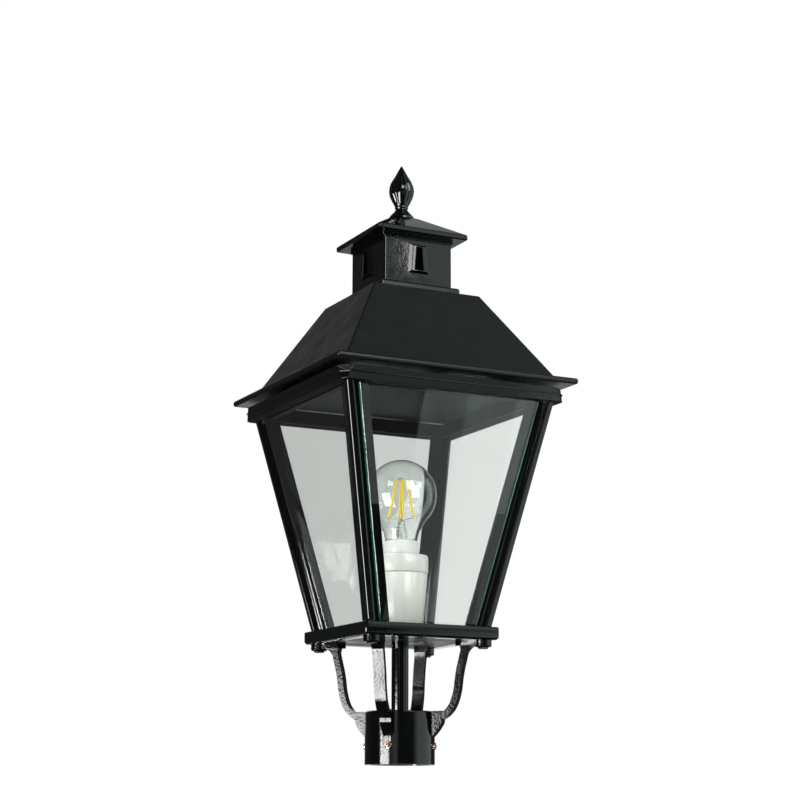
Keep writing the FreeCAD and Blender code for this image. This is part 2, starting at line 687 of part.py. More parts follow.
def bulb_outline(shrink):
    radius = BULB_R - shrink
    centre = BULB_Z + BULB_HEIGHT - BULB_R
    neck = BULB_NECK_R - shrink
    flank = math.radians(BULB_FLANK)
    join = (radius * math.cos(flank), centre + radius * math.sin(flank))
    throat = (neck, join[1] + (join[0] - neck) / math.tan(flank))
    crown = bow([join, (radius, centre), (0, centre + radius)])
    return [line((0, centre + radius), (0, BULB_Z)), line((0, BULB_Z), (neck, BULB_Z)),
            line((neck, BULB_Z), throat), line(throat, join), crown]


def bulb_glass():
    return revolved(bulb_outline(0)).cut(revolved(bulb_outline(BULB_WALL)))


def filament_ends(angle):
    c, s = math.cos(math.radians(angle)), math.sin(math.radians(angle))
    low = BULB_Z + STEM_HEIGHT
    foot = Vector(FILAMENT_IN * c, FILAMENT_IN * s, low)
    head = Vector(FILAMENT_OUT * c, FILAMENT_OUT * s, low + FILAMENT_LONG)
    return foot, head


def stick(start, end, radius):
    along = end - start
    return Part.makeCylinder(radius, along.Length, start, along)


def filaments():
    return Part.makeCompound([stick(*filament_ends(angle), FILAMENT_R) for angle in range(45, 360, 90)])


def lamp_stem():
    stem = Part.makeCone(BULB_NECK_R - BULB_WALL, STEM_R, STEM_FLARE, Vector(0, 0, BULB_Z))
    stem = stem.fuse(rod(STEM_R, BULB_Z + STEM_FLARE, STEM_HEIGHT - STEM_FLARE))
    top = BULB_Z + STEM_HEIGHT + FILAMENT_LONG
    wires = [stick(Vector(0, 0, BULB_Z + STEM_FLARE), Vector(0, 0, top), WIRE_R)]
    for angle in range(45, 360, 90):
        head = filament_ends(angle)[1]
        wires.append(stick(Vector(0, 0, top), head, WIRE_R))
    return stem.fuse(wires).cut(filaments()).removeSplitter()


def earth_terminal():
    out = PLATE_HALF - EARTH_IN
    screw = Part.makeCylinder(EARTH_R, EARTH_HEIGHT, Vector(out, 0, NUT_Z))
    tag = Part.makeBox(TAG_LONG, TAG_WIDE, TAG_THICK, Vector(out - TAG_LONG / 2, -TAG_WIDE / 2, NUT_Z))
    return screw.fuse(tag)


def save(name, shape):
    shape.exportStep(os.path.join("parts", name + ".step"))
    solids = len(shape.Solids)
    print("%-26s solids %d  volume %.0f  valid %s" % (name, solids, shape.Volume, shape.isValid()))


def main():
    os.makedirs("parts", exist_ok=True)
    save("post_socket", post_socket())
    save("bottom_frame", bottom_frame())
    save("bottom_plate", bottom_plate())
    save("upper_frame", upper_frame())
    save("roof", roof())
    save("chimney", chimney())
    save("chimney_cap", chimney_cap())
    save("finial", finial())
    save("hinge_fixed", hinge_fixed())
    save("hinge_roof", hinge_roof())
    save("hinge_pins", hinge_pins())
    save("conduit_tube", conduit_tube())
    save("tube_nut", tube_nut())
    save("holder_saddle", holder_saddle())
    save("lampholder_body", lampholder_body())
    save("lampholder_ring", lampholder_ring())
    save("screw_shell", screw_shell())
    save("centre_contact", centre_contact())
    save("lamp_cap", lamp_cap())
    save("lamp_collar", lamp_collar())
    save("bulb_glass", bulb_glass())
    save("lamp_stem", lamp_stem())
    save("filaments", filaments())
    save("earth_terminal", earth_terminal())
    arm = support_arm()
    post = corner_post()
    for name, angle in CORNERS.items():
        save("support_arm_" + name, turned(arm, angle))
        save("set_screw_" + name, turned(set_screw(), angle))
        save("corner_post_" + name, turned(post, angle + 45))
    save("foot_screws", Part.makeCompound([turned(foot_screw(), angle) for angle in CORNERS.values()]))
    for name, angle in SIDES.items():
        save("glass_" + name, turned(glass_pane(), angle))


main()
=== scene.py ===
import json
import math

import bmesh
import bpy
from mathutils import Matrix, Quaternion, Vector


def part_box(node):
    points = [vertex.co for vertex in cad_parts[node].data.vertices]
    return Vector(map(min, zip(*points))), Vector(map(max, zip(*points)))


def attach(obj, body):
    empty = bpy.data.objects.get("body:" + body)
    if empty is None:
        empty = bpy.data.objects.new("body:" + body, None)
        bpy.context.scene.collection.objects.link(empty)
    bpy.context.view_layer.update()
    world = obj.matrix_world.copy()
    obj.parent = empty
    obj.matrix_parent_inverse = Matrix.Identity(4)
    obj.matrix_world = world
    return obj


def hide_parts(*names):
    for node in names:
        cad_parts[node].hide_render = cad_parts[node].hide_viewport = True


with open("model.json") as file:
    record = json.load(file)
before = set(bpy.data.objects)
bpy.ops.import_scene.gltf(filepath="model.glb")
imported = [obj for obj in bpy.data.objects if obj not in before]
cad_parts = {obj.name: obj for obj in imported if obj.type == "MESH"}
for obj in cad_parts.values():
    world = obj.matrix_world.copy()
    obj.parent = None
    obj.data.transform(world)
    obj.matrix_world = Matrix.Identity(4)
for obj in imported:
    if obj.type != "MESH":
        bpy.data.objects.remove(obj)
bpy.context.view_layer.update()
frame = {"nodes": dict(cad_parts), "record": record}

scene = bpy.context.scene
mm = 0.001
print("frame loaded:", len(frame["nodes"]), "nodes")


def toLinear(hexColour):
    parts = [int(hexColour[i:i + 2], 16) / 255 for i in (1, 3, 5)]
    return [c / 12.92 if c <= 0.04045 else ((c + 0.055) / 1.055) ** 2.4 for c in parts] + [1.0]


def addNode(tree, kind, inputs=None, **settings):
    node = tree.nodes.new(kind)
    for key, value in settings.items():
        setattr(node, key, value)
    for key, value in (inputs or {}).items():
        if isinstance(value, bpy.types.NodeSocket):
            tree.links.new(value, node.inputs[key])
        else:
            node.inputs[key].default_value = value
    return node


def newMaterial(name):
    material = bpy.data.materials.new(name)
    material.use_nodes = True
    tree = material.node_tree
    tree.nodes.clear()
    return material, tree


def towards(azimuth, elevation):
    a, e = math.radians(azimuth), math.radians(elevation)
    return Vector((math.sin(a) * math.cos(e), -math.cos(a) * math.cos(e), math.sin(e)))


# camera: below the lantern's foot, looking up past the near corner
cameraFit = {"place": (-0.7178, -1.4277, -0.03704), "turn": 26.666, "pitch": 12.148, "roll": 0.187,
             "lens": 85.94, "sensor": 36, "near": 0.05, "far": 60}


def makeCamera(values):
    data = bpy.data.cameras.new("camera")
    data.lens = values["lens"]
    data.sensor_width = values["sensor"]
    data.clip_start, data.clip_end = values["near"], values["far"]
    camera = bpy.data.objects.new("camera", data)
    scene.collection.objects.link(camera)
    turn, pitch = math.radians(values["turn"]), math.radians(values["pitch"])
    ahead = Vector((math.sin(turn) * math.cos(pitch), math.cos(turn) * math.cos(pitch), math.sin(pitch)))
    camera.rotation_mode = "QUATERNION"
    camera.rotation_quaternion = (ahead.to_track_quat("-Z", "Y")
                                  @ Quaternion((0, 0, 1), math.radians(values["roll"])))
    camera.location = values["place"]
    scene.camera = camera


makeCamera(cameraFit)

# materials
glossLook = {"colour": "#020404", "roughness": 0.06, "peelSize": 3.0, "peelDepth": 0.03, "hazeSize": 16}
castLook = {"colour": "#020404", "roughness": 0.13, "peelSize": 2.4, "peelDepth": 0.07, "hazeSize": 9}
satinLook = {"colour": "#070A09", "roughness": 0.3, "peelSize": 1.5, "peelDepth": 0.06, "hazeSize": 22}
haze = {"from": 0.3, "to": 0.75, "smoother": 0.8, "rougher": 1.4}


def makeEnamel(name, values):
    # oven-cured enamel on cast aluminium: near-black with a cold green cast, wet shine, orange peel
    material, tree = newMaterial(name)
    place = addNode(tree, "ShaderNodeTexCoord").outputs["Object"]
    peel = addNode(tree, "ShaderNodeTexNoise", {"Vector": place, "Scale": 1 / (values["peelSize"] * mm),
                                               "Detail": 2.0})
    cloud = addNode(tree, "ShaderNodeTexNoise", {"Vector": place, "Scale": 1 / (values["hazeSize"] * mm),
                                                "Detail": 4.0})
    rough = addNode(tree, "ShaderNodeMapRange", {"Value": cloud.outputs["Fac"], "From Min": haze["from"],
                                                "From Max": haze["to"],
                                                "To Min": values["roughness"] * haze["smoother"],
                                                "To Max": values["roughness"] * haze["rougher"]})
    bump = addNode(tree, "ShaderNodeBump", {"Height": peel.outputs["Fac"], "Strength": 1.0,
                                           "Distance": values["peelDepth"] * mm})
    shader = addNode(tree, "ShaderNodeBsdfPrincipled", {"Base Color": toLinear(values["colour"]),
                                                       "Roughness": rough.outputs["Result"],
                                                       "Normal": bump.outputs["Normal"]})
    addNode(tree, "ShaderNodeOutputMaterial", {"Surface": shader.outputs["BSDF"]})
    return material


def makeGlass(name, hexColour, ior):
    # drawn or blown glass: smooth, dielectric, a trace of iron green
    material, tree = newMaterial(name)
    shader = addNode(tree, "ShaderNodeBsdfPrincipled", {"Base Color": toLinear(hexColour), "IOR": ior,
                                                       "Roughness": 0.0, "Transmission Weight": 1.0})
    addNode(tree, "ShaderNodeOutputMaterial", {"Surface": shader.outputs["BSDF"]})
    return material


def makeSolidFinish(name, hexColour, roughness, metallic=0.0, grain=3.0, depth=0.02, darker=0.0, shine=0.5,
                    glow=0.0):
    # one colour over a fine relief; darker is how far the tarnish takes it towards black
    material, tree = newMaterial(name)
    place = addNode(tree, "ShaderNodeTexCoord").outputs["Object"]
    noise = addNode(tree, "ShaderNodeTexNoise", {"Vector": place, "Scale": 1 / (grain * mm), "Detail": 3.0})
    bump = addNode(tree, "ShaderNodeBump", {"Height": noise.outputs["Fac"], "Strength": 1.0,
                                           "Distance": depth * mm})
    shader = addNode(tree, "ShaderNodeBsdfPrincipled", {"Base Color": toLinear(hexColour),
                                                       "Roughness": roughness, "Metallic": metallic,
                                                       "Specular IOR Level": shine,
                                                       "Emission Color": toLinear(hexColour),
                                                       "Emission Strength": glow,
                                                       "Normal": bump.outputs["Normal"]})
    if darker:
        dark = [c * (1 - darker) for c in toLinear(hexColour)[:3]] + [1.0]
        tone = addNode(tree, "ShaderNodeMix", {"Factor": noise.outputs["Fac"], "A": toLinear(hexColour),
                                               "B": dark}, data_type="RGBA")
        tree.links.new(tone.outputs[2], shader.inputs["Base Color"])
    addNode(tree, "ShaderNodeOutputMaterial", {"Surface": shader.outputs["BSDF"]})
    return material


finishes = {
    # smooth enamelled faces: deep black with sharp reflections
    "gloss_black": makeEnamel("glossEnamel", glossLook),
    # enamel over a sand casting: the same black, its highlights broken up by the skin below
    "cast_black": makeEnamel("glossEnamelOnCasting", castLook),
    # roof lid: reflections blur into an even dark grey
    "satin_black": makeEnamel("satinEnamel", satinLook),
    # window glass: clear, almost without colour
    "glass": makeGlass("floatGlass", "#FAFCFA", 1.5),
    # dust on the far pane: greys the white behind it a little
    "glass_back": makeGlass("floatGlassDusty", "#DADEDB", 1.5),
    # iron in the glass, seen the long way: a dark green line along each cut edge
    "glass_edge": makeSolidFinish("floatGlassCutEdge", "#2F8068", 0.5, grain=2, depth=0.01, shine=0.15),
    # painted shade: matte black with no reflection, on the glass ends, the left pane's edges and the frame's
    # underside
    "painted_shade_black": makeSolidFinish("mattePaintedShade", "#0A0C0B", 0.6, shine=0.15),
    # inside of the roof: coarse grey green, lighter than the enamel: painted haze, the light veil of the
    # glass in front
    "inside_haze_grey": makeSolidFinish("roofInsidePaintedHaze", "#3A4441", 0.45, grain=1.6, depth=0.5, shine=0.4),
    # thin blown glass: only its rim and small glints show
    "bulb": makeGlass("blownLampGlass", "#FBFDFC", 1.46),
    # glazed white: one soft upright highlight
    "porcelain": makeSolidFinish("glazedPorcelain", "#F7F7F1", 0.14, grain=6, depth=0.01),
    # moulded collar: white, duller than the porcelain
    "white_plastic": makeSolidFinish("whiteThermoplastic", "#F8F9F7", 0.35),
    # lamp cap and wires: bright warm grey
    "nickel": makeSolidFinish("nickelPlate", "#C9C6BE", 0.22, 1.0),
    # set screws and contacts: pale pinkish metal, dulled in spots
    "brass": makeSolidFinish("copperPlate", "#D2B5A2", 0.3, 1.0, darker=0.4),
    # fixings: cool grey, dulled in spots
    "steel": makeSolidFinish("zincPlatedSteel", "#A8ABAC", 0.3, 1.0, darker=0.2),
    # sleeve on the lamp's sticks: a painted glow, though the lamp is off, keeps its yellow clear through the
    # glass
    "phosphor": makeSolidFinish("phosphorSleevePaintedGlow", "#FFE052", 0.55, glow=0.35)}
bodyOf = {node: body for body, nodes in frame["record"]["behaviour"]["bodies"].items() for node in nodes}


def finishPiece(name, form, finish, nodes, body=None, sharp=50, weighted=False):
    mesh = bpy.data.meshes.new(name)
    form.to_mesh(mesh)
    form.free()
    mesh.shade_smooth()
    mesh.set_sharp_from_angle(angle=math.radians(sharp))
    mesh.materials.append(finishes[finish])
    piece = bpy.data.objects.new(name, mesh)
    scene.collection.objects.link(piece)
    if weighted:
        normals = piece.modifiers.new("weighted", "WEIGHTED_NORMAL")
        normals.keep_sharp = True
    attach(piece, body or bodyOf[nodes[0]])
    if nodes:
        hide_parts(*nodes)
    return piece


def turnProfile(points, steps=64, start=0.0):
    form = bmesh.new()
    verts = [form.verts.new((r * mm * math.cos(start), r * mm * math.sin(start), z * mm)) for r, z in points]
    edges = [form.edges.new(pair) for pair in zip(verts, verts[1:])]
    bmesh.ops.spin(form, geom=verts + edges, cent=(0, 0, 0), axis=(0, 0, 1), angle=math.tau, steps=steps,
                   use_merge=True)
    bmesh.ops.remove_doubles(form, verts=form.verts, dist=1e-6)
    bmesh.ops.recalc_face_normals(form, faces=form.faces)
    return form


def bevelEdges(form, edges, width, segments):
    bmesh.ops.bevel(form, geom=edges, offset=width * mm, offset_type="OFFSET", segments=segments,
                    profile=0.5, affect="EDGES", clamp_overlap=True, material=-1)


def hardEdges(form, angle=40):
    form.normal_update()
    return [e for e in form.edges if len(e.link_faces) == 2 and e.calc_face_angle(0) > math.radians(angle)]


flatWithin = math.radians(0.6)


def copyOfNode(name):
    form = bmesh.new()
    form.from_mesh(frame["nodes"][name].data)
    bmesh.ops.remove_doubles(form, verts=form.verts, dist=2e-6)
    bmesh.ops.join_triangles(form, faces=form.faces, angle_face_threshold=flatWithin,
                             angle_shape_threshold=math.radians(180))
    return form


# roof lid: eave slab, four slopes and collar, turned in four steps from one square section
roofShape = {"eaveHalf": 110.3, "eaveLow": 310.5, "eaveTop": 315.5, "slopeFoot": 97.5, "slopeHead": 50.0,
             "slopeTop": 392.8, "collarHalf": 37.8, "collarTop": 401.3, "flueHalf": 27.0, "innerTop": 388.8,
             "innerHead": 46.0, "mouthHalf": 90.0, "eaveRound": 1.9, "hipRound": 1.2, "collarRound": 2.2,
             "hipAngle": 20, "hipRise": 0.03, "offDiagonal": 1e-5, "innerRise": 40}
edgeSlack = 0.0004


def nearHalf(edge, half, low, high):
    return all(abs(max(abs(v.co.x), abs(v.co.y)) - half * mm) < edgeSlack
               and low * mm - edgeSlack < v.co.z < high * mm + edgeSlack for v in edge.verts)


def makeRoof(s):
    section = [(s["mouthHalf"], s["eaveLow"]), (s["eaveHalf"], s["eaveLow"]), (s["eaveHalf"], s["eaveTop"]),
               (s["slopeFoot"], s["eaveTop"]), (s["slopeHead"], s["slopeTop"]),
               (s["collarHalf"], s["slopeTop"]), (s["collarHalf"], s["collarTop"]),
               (s["flueHalf"], s["collarTop"]), (s["flueHalf"], s["innerTop"]),
               (s["innerHead"], s["innerTop"]), (s["mouthHalf"], s["eaveLow"])]
    form = turnProfile([(half * math.sqrt(2), z) for half, z in section], 4, math.radians(45))
    eave = [e for e in form.edges if nearHalf(e, s["eaveHalf"], s["eaveLow"], s["eaveTop"])]
    bevelEdges(form, eave, s["eaveRound"], 3)
    collar = [e for e in form.edges if nearHalf(e, s["collarHalf"], s["slopeTop"], s["collarTop"])]
    bevelEdges(form, collar, s["collarRound"], 3)
    hips = [e for e in hardEdges(form, s["hipAngle"])
            if all(v.co.z > (s["eaveTop"] - 0.5) * mm for v in e.verts)
            and abs(abs(e.verts[0].co.x) - abs(e.verts[0].co.y)) < s["offDiagonal"]
            and abs(e.verts[0].co.z - e.verts[1].co.z) > s["hipRise"]]
    bevelEdges(form, hips, s["hipRound"], 3)
    piece = finishPiece("roofCasting", form, "satin_black", ["roof"], sharp=35, weighted=True)
    # the four slopes inside take the lighter grey green, the glass's haze painted in
    piece.data.materials.append(finishes["inside_haze_grey"])
    corners = piece.data.vertices
    for face in piece.data.polygons:
        spots = [corners[i].co / mm for i in face.vertices]
        reach = [max(abs(spot.x), abs(spot.y)) for spot in spots]
        rise = max(spot.z for spot in spots) - min(spot.z for spot in spots)
        if max(reach) < s["mouthHalf"] + 1 and min(reach) > s["innerHead"] - 1 and rise > s["innerRise"]:
            face.material_index = 1


makeRoof(roofShape)
print("roof lid made")

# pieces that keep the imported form, with softened edges
softened = {"chimney": ("cast_black", 0.5), "chimney_cap": ("gloss_black", 0.5),
            "upper_frame": ("gloss_black", 0.3), "bottom_frame": ("gloss_black", 0.0),
            "post_socket": ("cast_black", 0.0),
            "conduit_tube": ("gloss_black", 0.0), "bottom_plate": ("satin_black", 0.0),
            "hinge_fixed": ("gloss_black", 0.0), "hinge_roof": ("gloss_black", 0.0),
            "tube_nut": ("steel", 0.3), "holder_saddle": ("steel", 0.0), "foot_screws": ("steel", 0.0),
            "hinge_pins": ("steel", 0.0), "earth_terminal": ("brass", 0.0), "lamp_cap": ("nickel", 0.0),
            "screw_shell": ("nickel", 0.0), "centre_contact": ("brass", 0.0)}
for corner in ("front_right", "back_right", "back_left", "front_left"):
    softened["corner_post_" + corner] = ("gloss_black", 0.0)
    softened["support_arm_" + corner] = ("cast_black", 0.7)
    softened["set_screw_" + corner] = ("brass", 0.0)
facingDown = -0.8


def softenNodes(table):
    for node, (finish, width) in table.items():
        form = copyOfNode(node)
        if width:
            bevelEdges(form, hardEdges(form), width, 2)
        piece = finishPiece(node + "Dressed", form, finish, [node], weighted=True)
        if node == "upper_frame":
            # painted shade on the frame's down-facing faces: matte black, where gloss would mirror the bright
            # backdrop above the glass
            piece.data.materials.append(finishes["painted_shade_black"])
            for face in piece.data.polygons:
                if face.normal.z < facingDown:
                    face.material_index = 1


softenNodes(softened)
print("frame, chimney, arms and fittings dressed")

# glass panes: clear faces, green cut edges, the ends short of the groove floors; the ends and the left pane's
# edges carry painted shade in matte black
paneLook = {"shortBy": 0.5, "edgeBreak": 0.4, "endFacing": 0.6, "sideFacing": 0.6, "leftFacing": 0.9}


def makePanes(s):
    for side in ("front", "right", "back", "left"):
        form = copyOfNode("glass_" + side)
        bmesh.ops.dissolve_limit(form, angle_limit=flatWithin, verts=form.verts, edges=form.edges)
        low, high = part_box("glass_" + side)
        middle = (low + high) / 2
        factor = 1 - 2 * s["shortBy"] * mm / (high.z - low.z)
        for v in form.verts:
            v.co.z = middle.z + (v.co.z - middle.z) * factor
        bevelEdges(form, hardEdges(form), s["edgeBreak"], 1)
        finish = "glass_back" if side == "back" else "glass"
        piece = finishPiece("pane" + side.capitalize(), form, finish, ["glass_" + side], sharp=20)
        piece.data.materials.append(finishes["glass_edge"])
        piece.data.materials.append(finishes["painted_shade_black"])
        out = Vector((middle.x, middle.y, 0)).normalized()
        for face in piece.data.polygons:
            facing = abs(face.normal.dot(out))
            # painted shade: the ends, and every edge of the left pane, go matte black
            if abs(face.normal.z) > s["endFacing"] or (side == "left" and facing < s["leftFacing"]):
                face.material_index = 2
            elif facing < s["sideFacing"]:
                face.material_index = 1
        piece.visible_shadow = False


makePanes(paneLook)
print("panes made")

# finial: turned foot, bead and bud, the bud worked into soft upright lobes
finialShape = {
    "outline": [(0, 467.5), (10.9, 467.5), (10.9, 469.3), (10.3, 470.3), (8.8, 472.0), (7.0, 474.0),
                (5.7, 475.6), (5.2, 476.7), (5.5, 477.4), (5.9, 478.0), (5.8, 478.7), (5.6, 479.2),
                (6.1, 480.1), (7.6, 483.1), (9.3, 486.5), (10.5, 489.8), (11.0, 493.2),
                (10.8, 496.5), (9.9, 499.8), (8.2, 503.1), (6.2, 506.4), (4.4, 509.7), (2.7, 512.9),
                (1.4, 515.2), (0.6, 516.6), (0, 517.0)],
    "low": 480.5, "high": 512.0, "flutes": 15, "depth": 0.075, "sway": 0.7, "swayUp": 9,
    "swayRound": 3, "ripple": 0.4, "rippleUp": 23, "uneven": 0.25, "unevenUp": 17, "unevenRound": 5}


def makeFinial(s):
    form = turnProfile(s["outline"], 180)
    span = s["high"] - s["low"]
    upright = [e for e in form.edges if all(s["low"] - 4 < v.co.z / mm < s["high"] + 3 for v in e.verts)
               and abs(e.verts[0].co.z - e.verts[1].co.z) > 1 * mm]
    bmesh.ops.subdivide_edges(form, edges=upright, cuts=3, smooth=0)
    for v in form.verts:
        up = (v.co.z / mm - s["low"]) / span
        if 0 < up < 1:
            fade = math.sin(math.pi * up) ** 0.5
            around = math.atan2(v.co.y, v.co.x)
            sway = s["sway"] * math.sin(up * s["swayUp"] + s["swayRound"] * around)
            wave = around * s["flutes"] + sway + s["ripple"] * math.sin(up * s["rippleUp"])
            patch = 1 - s["uneven"] + s["uneven"] * math.sin(up * s["unevenUp"] + s["unevenRound"] * around)
            scale = 1 - s["depth"] * fade * (0.5 - 0.5 * math.cos(wave)) * patch
            v.co.x *= scale
            v.co.y *= scale
    finishPiece("finialBud", form, "cast_black", ["finial"], sharp=60)


makeFinial(finialShape)
print("finial made")

# lampholder: glazed porcelain cup and screwed ring, each rim rounded in small steps
holderShape = {"foot": 110.0, "footR": 18.2, "headR": 22.4, "seam": 157.5, "ringR": 22.8, "ringTop": 172.9,
               "mouthR": 15.0, "wellR": 16.6, "wellFloor": 133.5, "tubeR": 7.1}


def makeHolder(s):
    cup = [(s["tubeR"], s["foot"]), (s["footR"] - 1.6, s["foot"]), (s["footR"] - 0.5, s["foot"] + 0.4),
           (s["footR"], s["foot"] + 1.4), (s["headR"] - 0.2, s["seam"] - 1.2),
           (s["headR"] - 0.7, s["seam"] - 0.3), (s["headR"] - 1.4, s["seam"]), (s["wellR"], s["seam"]),
           (s["wellR"], s["wellFloor"]), (0, s["wellFloor"])]
    finishPiece("holderCup", turnProfile(cup, 72), "porcelain", ["lampholder_body"], sharp=40)
    ring = [(s["wellR"], s["seam"]), (s["ringR"] - 1.2, s["seam"]), (s["ringR"] - 0.4, s["seam"] + 0.3),
            (s["ringR"], s["seam"] + 1.0), (s["ringR"], s["ringTop"] - 1.8),
            (s["ringR"] - 0.5, s["ringTop"] - 0.6), (s["ringR"] - 1.7, s["ringTop"]),
            (s["mouthR"] + 0.8, s["ringTop"]), (s["mouthR"], s["ringTop"] - 0.8),
            (s["mouthR"], s["seam"]), (s["wellR"], s["seam"])]
    finishPiece("holderRing", turnProfile(ring, 72), "porcelain", ["lampholder_ring"], sharp=40)


makeHolder(holderShape)

# lamp: clear blown bulb, collar, stem, lead wires and four phosphor sticks
lampShape = {"collarZ": 173.3, "collarR": 14.3, "collarTop": 185.1, "bulbTop": 254.5, "bulbR": 30.0,
             "neckR": 13.6, "wall": 0.5, "stickFoot": 205.8, "stickHead": 237.5, "stickR": 1.1,
             "stickIn": 4.2, "stickOut": 10.4, "stickTurn": -18.7, "wireR": 0.3, "coilR": 3.6, "coilTurns": 5,
             "coilSteps": 16, "coilWide": 1.15, "coilTaper": 0.7, "coilUp": 1, "hubUp": 1.5, "stemDown": 3,
             "neckCurve": [(-0.4, -1.0), (0, 1), (0.4, 4), (1.9, 8.5), (4.7, 13.5)],
             "bulbFrom": -42, "bulbStep": 6,
             "stemCurve": [(6.4, 0), (5.4, 3), (4.5, 7), (3.8, 11), (3.4, 14), (2.6, 17), (1.4, 18.5),
                           (0, 18.8)]}


def makeBulb(s):
    centre = s["bulbTop"] - s["bulbR"]
    outline = [(s["neckR"] + out, s["collarTop"] + up) for out, up in s["neckCurve"]]
    outline += [(s["bulbR"] * math.cos(a), centre + s["bulbR"] * math.sin(a))
                for a in (math.radians(d) for d in range(s["bulbFrom"], 91, s["bulbStep"]))]
    form = turnProfile(outline, 72)
    piece = finishPiece("bulbEnvelope", form, "bulb", ["bulb_glass"], sharp=80)
    wall = piece.modifiers.new("wall", "SOLIDIFY")
    wall.thickness = s["wall"] * mm
    wall.offset = -1
    piece.visible_shadow = False

    collar = [(0, s["collarZ"]), (s["collarR"] - 1.2, s["collarZ"]), (s["collarR"] - 0.3, s["collarZ"] + 0.4),
              (s["collarR"], s["collarZ"] + 1.3), (s["collarR"], s["collarTop"] - 0.9),
              (s["collarR"] - 0.4, s["collarTop"] - 0.2), (s["neckR"] - 0.2, s["collarTop"]),
              (s["neckR"] - 1.4, s["collarTop"]), (0, s["collarTop"])]
    finishPiece("lampCollar", turnProfile(collar, 72), "white_plastic", ["lamp_collar"], sharp=40)


def addStick(form, start, end, radius, sides=12):
    along = end - start
    turn = along.to_track_quat("Z", "Y").to_matrix().to_4x4()
    place = Matrix.Translation((start + end) / 2) @ turn
    bmesh.ops.create_cone(form, cap_ends=True, segments=sides, radius1=radius, radius2=radius,
                          depth=along.length, matrix=place)


def makeLampInside(s):
    sticks = bmesh.new()
    wires = bmesh.new()
    hub = Vector((0, 0, s["stickHead"] + s["hubUp"]))
    stemTop = Vector((0, 0, s["stickFoot"] - s["stemDown"]))
    for k in range(4):
        side = towards(s["stickTurn"] + 90 * k, 0)
        foot = side * s["stickOut"] + Vector((0, 0, s["stickFoot"]))
        head = side * s["stickIn"] + Vector((0, 0, s["stickHead"]))
        addStick(sticks, foot * mm, head * mm, s["stickR"] * mm)
        addStick(wires, stemTop * mm, foot * mm, s["wireR"] * mm, 8)
        addStick(wires, head * mm, hub * mm, s["wireR"] * mm, 8)
    addStick(wires, stemTop * mm, hub * mm, s["wireR"] * mm, 8)
    steps = s["coilSteps"] * s["coilTurns"]
    low = s["collarTop"] + s["coilUp"]
    for k in range(steps):
        ends = []
        for j in (k, k + 1):
            a = math.tau * j / s["coilSteps"]
            r = s["coilR"] * (s["coilWide"] - s["coilTaper"] * j / steps)
            ends.append(Vector((r * math.cos(a), r * math.sin(a), low + (stemTop.z - low) * j / steps)) * mm)
        addStick(wires, ends[0], ends[1], s["wireR"] * mm, 6)
    finishPiece("lampSticks", sticks, "phosphor", ["filaments"])
    finishPiece("lampWires", wires, "nickel", [], body="lamp")
    outline = [(r, s["collarTop"] + up) for r, up in s["stemCurve"]]
    finishPiece("lampStem", turnProfile(outline, 40), "bulb", ["lamp_stem"], sharp=80)


makeBulb(lampShape)
makeLampInside(lampShape)
print("lamp and holder made")

# studio: pale floor, white all round for the camera, dark all round for mirrored rays
studio = {"floorHalf": 4.0, "floorDrop": 0.0005, "floorColour": "#E9E9E6", "skyDiffuse": 1.25,
          "skyGloss": 0.06, "cardReach": 4.0, "cardCentre": 0.02, "lampCentre": 0.25}
plainTint, coolTint, greenTint = (1.0, 1.0, 0.99), (0.88, 1.0, 0.98), (0.84, 1.0, 0.98)
# cards that only show in the gloss: azimuths and elevations they cover, level, tint
cards = {"leftSoftbox": ((-92, -63.1), (-34, 3.6), 22.0, plainTint),
         "leftSpill": ((-63.1, -50), (-30, 4), 0.4, plainTint),
         "leftWall": ((-50, -34), (-30, 10), 0.7, coolTint),
         "rightLowSoft": ((26.2, 28), (-35, 0), 0.55, coolTint),
         "rightLowEdge": ((28, 30), (-35, 0), 0.85, coolTint),
         "rightPanel": ((30, 96), (-35, 0), 1.2, coolTint),
         "rightFootSoft": ((20, 30), (0, 8), 0.5, coolTint),
         "rightFoot": ((30, 96), (0, 8), 1.1, coolTint),
         "rightUpper": ((24.5, 96), (8, 46), 1.12, coolTint),
         "frontStrip": ((-10, 20), (13, 42), 9.0, plainTint),
         "highPanel": ((40, 100), (50, 76), 0.32, greenTint),
         "backHigh": ((118, 164), (30, 47), 0.34, coolTint),
         "backLeftHigh": ((164, 196), (16, 44), 0.14, plainTint),
         "backdrop": ((137, 169), (-6, 26), 0.9, plainTint),
         "backdropLow": ((137, 169), (-22, -6), 0.4, coolTint)}
# area lamps: azimuth, elevation, distance, size, watts
lamps = {"keyLamp": (-60, 35, 1.8, 0.9, 16),
         "fillLamp": (45, 30, 2.0, 1.1, 14),
         "backLamp": (170, 50, 2.0, 1.0, 8)}


